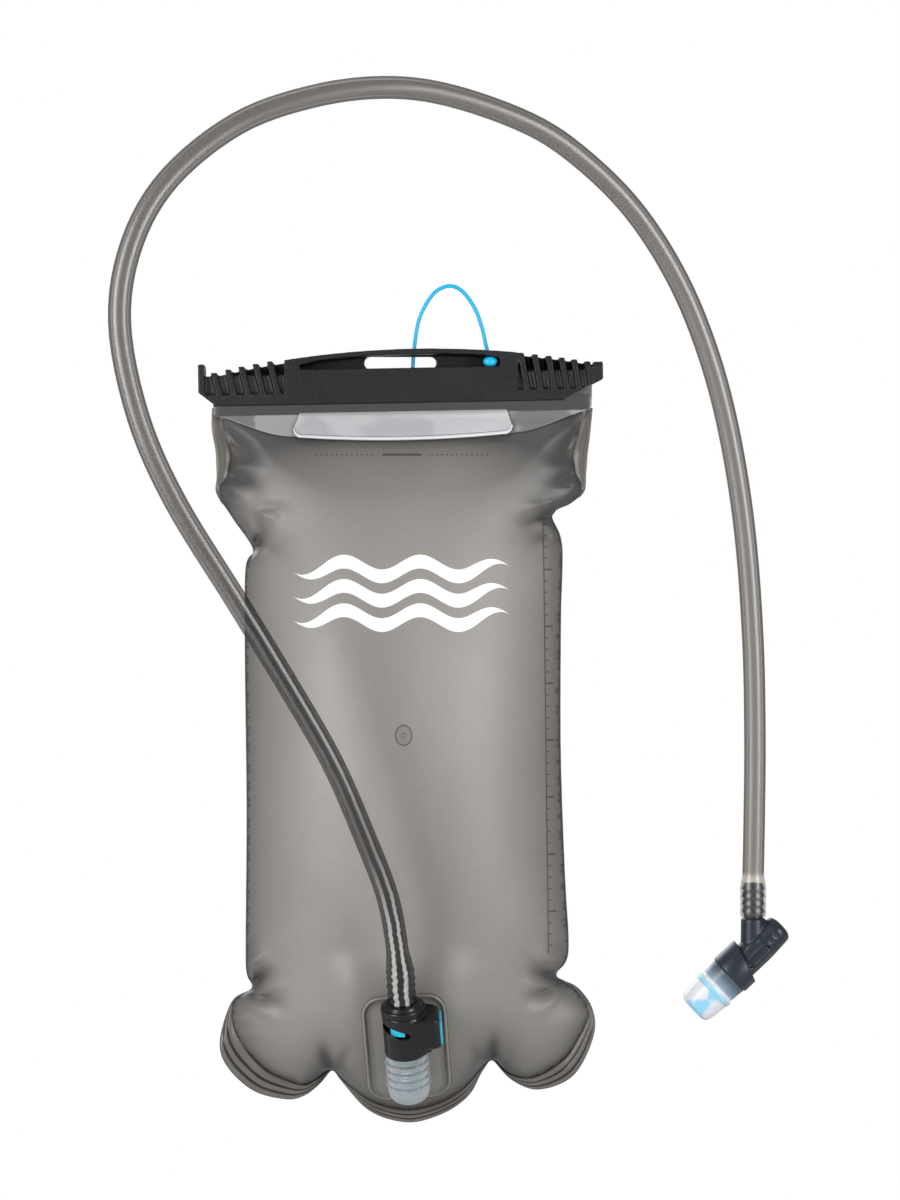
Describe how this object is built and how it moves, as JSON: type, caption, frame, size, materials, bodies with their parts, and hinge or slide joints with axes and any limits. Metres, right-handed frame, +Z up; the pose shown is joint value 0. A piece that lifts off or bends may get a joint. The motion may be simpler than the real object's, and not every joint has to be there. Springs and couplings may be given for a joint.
{
  "type": "hydration bladder",
  "caption": "Filled film hydration bladder with a slide-seal top bar, a quick-release hose port, a looped smoke-grey drink hose and a twist-lock bite valve.",
  "frame": {"origin": "centre of the bag's flat back face", "axes": "+X across the bag to the right as seen from the front, +Y from the front face to the wearer's back, +Z up towards the slide bar"},
  "size_m": [0.2893, 0.1157, 0.451],
  "materials": {
    "film": "satin clear smoke-grey film",
    "weld": "welded film, darker where it is doubled",
    "black_plastic": "fine grained black",
    "dark_strip": "smooth black, seen through film",
    "white_tab": "milky stiff sheet",
    "blue_cord": "smooth cyan blue",
    "blue_plastic": "glossy blue",
    "clear_plastic": "clear moulding",
    "valve_black": "satin blue-black",
    "spring_steel": "drawn wire",
    "seal_rubber": "matt",
    "smoke_hose": "smoke-tinted clear hose",
    "silicone": "translucent white"
  },
  "bodies": {
    "reservoir": {"front_panel": "film", "back_panel": "film", "perimeter_weld": "weld", "centre_weld_disc": "weld", "top_rail": "dark_strip", "top_fold": "film", "closure_flap": "film", "flap_stiffener": "dark_strip", "pull_tab": "white_tab", "tether_anchor": "blue_cord", "port_patch": "clear_plastic", "connector_housing": "black_plastic", "port_receiver": "clear_plastic", "latch_spring": "spring_steel", "poppet_spring": "spring_steel"},
    "slide_bar": {"slide_bar": "black_plastic", "tether_bead": "blue_cord", "tether_cord": "blue_cord"},
    "release_button": {"release_latch": "blue_plastic"},
    "poppet": {"shutoff_poppet": "clear_plastic", "poppet_gasket": "seal_rubber"},
    "plug_seal": {"plug_o_ring": "seal_rubber"},
    "hose": {"plug_body": "black_plastic", "drink_hose": "smoke_hose"},
    "valve": {"valve_body": "valve_black", "valve_end_cap": "valve_black"},
    "shutoff_collar": {"shutoff_collar": "valve_black", "shutoff_spool": "blue_plastic", "spool_o_ring": "seal_rubber", "bite_core": "blue_plastic", "bite_valve": "silicone"}
  },
  "joints": [
    {"name": "slide_bar_slide", "type": "slide", "parent": "reservoir", "child": "slide_bar", "axis": [-1, 0, 0], "range_m": [0, 0.185], "deforming": ["tether_cord"]},
    {"name": "release_button_press", "type": "slide", "parent": "reservoir", "child": "release_button", "axis": [-0.9976, 0, -0.0698], "range_m": [0, 0.0013], "deforming": ["latch_spring"]},
    {"name": "plug_pull", "type": "slide", "parent": "reservoir", "child": "plug_seal", "axis": [-0.0655, -0.342, 0.9374], "range_m": [0, 0.025]},
    {"name": "poppet_close", "type": "slide", "parent": "reservoir", "child": "poppet", "axis": [-0.0655, -0.342, 0.9374], "range_m": [0, 0.0022], "deforming": ["poppet_spring"]},
    {"name": "hose_swivel", "type": "hinge", "parent": "plug_seal", "child": "hose", "pos_m": [0.001, -0.052, -0.115], "axis": [-0.0655, -0.342, 0.9374], "range_deg": [0, 60]},
    {"name": "valve_swivel", "type": "hinge", "parent": "hose", "child": "valve", "pos_m": [0.1549, -0.016, -0.078], "axis": [0, 0, 1], "continuous": true},
    {"name": "shutoff_twist", "type": "hinge", "parent": "valve", "child": "shutoff_collar", "pos_m": [0.1549, -0.016, -0.094], "axis": [-0.7242, 0, -0.6896], "range_deg": [0, 90]}
  ],
  "couplings": [
    {"joint": "poppet_close", "follows": "plug_pull", "ratio": 0.088}
  ]
}
